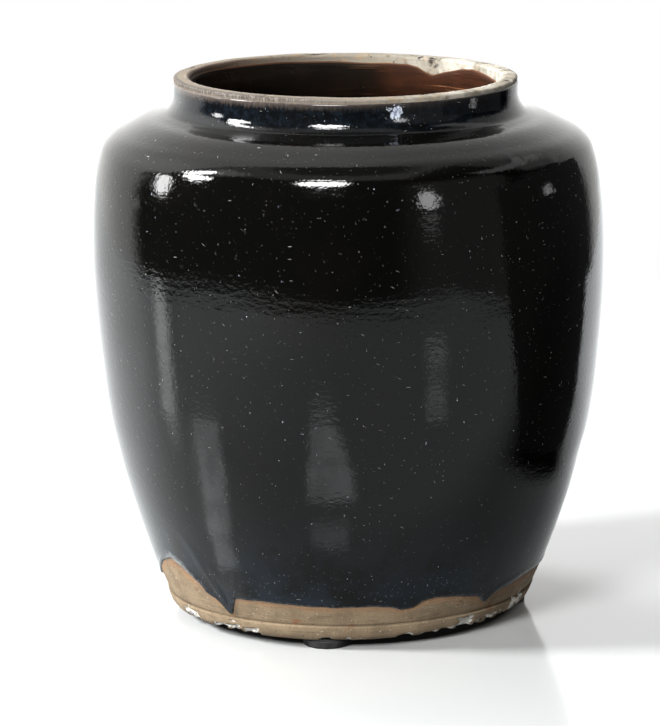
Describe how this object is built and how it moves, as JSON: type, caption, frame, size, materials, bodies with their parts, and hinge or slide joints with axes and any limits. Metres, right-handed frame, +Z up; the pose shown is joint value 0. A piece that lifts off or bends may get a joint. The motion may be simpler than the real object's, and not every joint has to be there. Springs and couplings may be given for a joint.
{
  "type": "glazed stoneware oil pot",
  "caption": "Squat wide-mouthed stoneware pot with a low neck, a rounded shoulder, a dark running glaze over a bare foot, and round rubber pads under the base.",
  "frame": {"origin": "on the table under the pads, below the axis of the belly", "axes": "+Z up through the mouth, -Y towards the picture's viewer, +X to the viewer's right"},
  "size_m": [0.2718, 0.2718, 0.289],
  "materials": {
    "bare_stoneware": "bare fired clay, buff to brown, gritty, with one cut groove and chalky chips",
    "black_brown_glaze": "glossy black-brown glaze with pits, fine scratches and a bluish bloom near its edges",
    "red_brown_glaze": "satin to glossy red-brown glaze, thin over the throwing rings",
    "black_rubber": "black rubber, slightly dusty",
    "adhesive_foam": "thin grey-white adhesive foam"
  },
  "bodies": {
    "root": {"stoneware_body": "bare_stoneware", "outer_glaze": "black_brown_glaze", "inner_glaze": "red_brown_glaze", "floor_pad_front": "black_rubber", "floor_pad_right": "black_rubber", "floor_pad_back": "black_rubber", "floor_pad_left": "black_rubber", "pad_adhesive_front": "adhesive_foam", "pad_adhesive_right": "adhesive_foam", "pad_adhesive_back": "adhesive_foam", "pad_adhesive_left": "adhesive_foam"}
  },
  "joints": []
}
